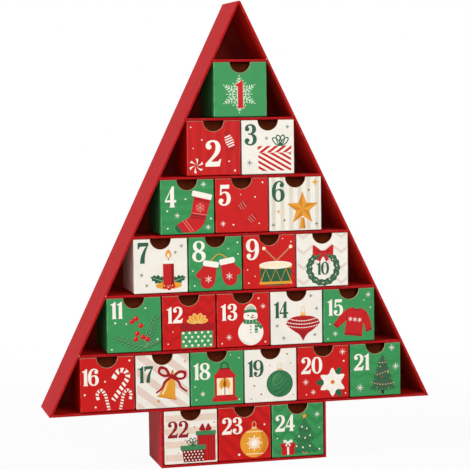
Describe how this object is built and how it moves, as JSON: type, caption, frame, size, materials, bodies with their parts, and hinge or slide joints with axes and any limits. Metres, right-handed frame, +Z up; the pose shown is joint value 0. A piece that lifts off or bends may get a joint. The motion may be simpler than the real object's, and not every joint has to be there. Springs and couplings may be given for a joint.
{
  "type": "advent calendar",
  "caption": "Tree-shaped cardboard cabinet with shelves of small numbered pull-out drawers and a box-shaped trunk that it stands on.",
  "frame": {"origin": "on the ground under the trunk, in the middle of the cabinet's width and depth", "axes": "+X to the viewer's right, +Y from the front to the back, +Z up from the trunk to the tip"},
  "size_m": [0.3558, 0.058, 0.418],
  "materials": {
    "board_red": "matt red paper on grey board",
    "card_red": "printed card, silk",
    "card_green": "printed card, silk",
    "card_white": "printed card, silk"
  },
  "bodies": {
    "cabinet": {"back_panel": "board_red", "left_wall": "board_red", "right_wall": "board_red", "apex_shelf": "board_red", "shelf_under_row_1": "board_red", "shelf_under_row_2": "board_red", "shelf_under_row_3": "board_red", "shelf_under_row_4": "board_red", "shelf_under_row_5": "board_red", "base_board": "board_red", "trunk_left_wall": "board_red", "trunk_right_wall": "board_red", "trunk_floor": "board_red"},
    "drawer_01_body": {"drawer_01": "card_green"},
    "drawer_02_body": {"drawer_02": "card_red"},
    "drawer_03_body": {"drawer_03": "card_white"},
    "drawer_04_body": {"drawer_04": "card_green"},
    "drawer_05_body": {"drawer_05": "card_red"},
    "drawer_06_body": {"drawer_06": "card_white"},
    "drawer_07_body": {"drawer_07": "card_white"},
    "drawer_08_body": {"drawer_08": "card_green"},
    "drawer_09_body": {"drawer_09": "card_red"},
    "drawer_10_body": {"drawer_10": "card_white"},
    "drawer_11_body": {"drawer_11": "card_green"},
    "drawer_12_body": {"drawer_12": "card_red"},
    "drawer_13_body": {"drawer_13": "card_red"},
    "drawer_14_body": {"drawer_14": "card_white"},
    "drawer_15_body": {"drawer_15": "card_green"},
    "drawer_16_body": {"drawer_16": "card_red"},
    "drawer_17_body": {"drawer_17": "card_white"},
    "drawer_18_body": {"drawer_18": "card_green"},
    "drawer_19_body": {"drawer_19": "card_white"},
    "drawer_20_body": {"drawer_20": "card_red"},
    "drawer_21_body": {"drawer_21": "card_green"},
    "drawer_22_body": {"drawer_22": "card_white"},
    "drawer_23_body": {"drawer_23": "card_red"},
    "drawer_24_body": {"drawer_24": "card_green"}
  },
  "joints": [
    {"name": "drawer_01_slide", "type": "slide", "parent": "cabinet", "child": "drawer_01_body", "axis": [0, -1, 0], "range_m": [0, 0.055]},
    {"name": "drawer_02_slide", "type": "slide", "parent": "cabinet", "child": "drawer_02_body", "axis": [0, -1, 0], "range_m": [0, 0.055]},
    {"name": "drawer_03_slide", "type": "slide", "parent": "cabinet", "child": "drawer_03_body", "axis": [0, -1, 0], "range_m": [0, 0.055]},
    {"name": "drawer_04_slide", "type": "slide", "parent": "cabinet", "child": "drawer_04_body", "axis": [0, -1, 0], "range_m": [0, 0.055]},
    {"name": "drawer_05_slide", "type": "slide", "parent": "cabinet", "child": "drawer_05_body", "axis": [0, -1, 0], "range_m": [0, 0.055]},
    {"name": "drawer_06_slide", "type": "slide", "parent": "cabinet", "child": "drawer_06_body", "axis": [0, -1, 0], "range_m": [0, 0.055]},
    {"name": "drawer_07_slide", "type": "slide", "parent": "cabinet", "child": "drawer_07_body", "axis": [0, -1, 0], "range_m": [0, 0.055]},
    {"name": "drawer_08_slide", "type": "slide", "parent": "cabinet", "child": "drawer_08_body", "axis": [0, -1, 0], "range_m": [0, 0.055]},
    {"name": "drawer_09_slide", "type": "slide", "parent": "cabinet", "child": "drawer_09_body", "axis": [0, -1, 0], "range_m": [0, 0.055]},
    {"name": "drawer_10_slide", "type": "slide", "parent": "cabinet", "child": "drawer_10_body", "axis": [0, -1, 0], "range_m": [0, 0.055]},
    {"name": "drawer_11_slide", "type": "slide", "parent": "cabinet", "child": "drawer_11_body", "axis": [0, -1, 0], "range_m": [0, 0.055]},
    {"name": "drawer_12_slide", "type": "slide", "parent": "cabinet", "child": "drawer_12_body", "axis": [0, -1, 0], "range_m": [0, 0.055]},
    {"name": "drawer_13_slide", "type": "slide", "parent": "cabinet", "child": "drawer_13_body", "axis": [0, -1, 0], "range_m": [0, 0.055]},
    {"name": "drawer_14_slide", "type": "slide", "parent": "cabinet", "child": "drawer_14_body", "axis": [0, -1, 0], "range_m": [0, 0.055]},
    {"name": "drawer_15_slide", "type": "slide", "parent": "cabinet", "child": "drawer_15_body", "axis": [0, -1, 0], "range_m": [0, 0.055]},
    {"name": "drawer_16_slide", "type": "slide", "parent": "cabinet", "child": "drawer_16_body", "axis": [0, -1, 0], "range_m": [0, 0.055]},
    {"name": "drawer_17_slide", "type": "slide", "parent": "cabinet", "child": "drawer_17_body", "axis": [0, -1, 0], "range_m": [0, 0.055]},
    {"name": "drawer_18_slide", "type": "slide", "parent": "cabinet", "child": "drawer_18_body", "axis": [0, -1, 0], "range_m": [0, 0.055]},
    {"name": "drawer_19_slide", "type": "slide", "parent": "cabinet", "child": "drawer_19_body", "axis": [0, -1, 0], "range_m": [0, 0.055]},
    {"name": "drawer_20_slide", "type": "slide", "parent": "cabinet", "child": "drawer_20_body", "axis": [0, -1, 0], "range_m": [0, 0.055]},
    {"name": "drawer_21_slide", "type": "slide", "parent": "cabinet", "child": "drawer_21_body", "axis": [0, -1, 0], "range_m": [0, 0.055]},
    {"name": "drawer_22_slide", "type": "slide", "parent": "cabinet", "child": "drawer_22_body", "axis": [0, -1, 0], "range_m": [0, 0.055]},
    {"name": "drawer_23_slide", "type": "slide", "parent": "cabinet", "child": "drawer_23_body", "axis": [0, -1, 0], "range_m": [0, 0.055]},
    {"name": "drawer_24_slide", "type": "slide", "parent": "cabinet", "child": "drawer_24_body", "axis": [0, -1, 0], "range_m": [0, 0.055]}
  ]
}
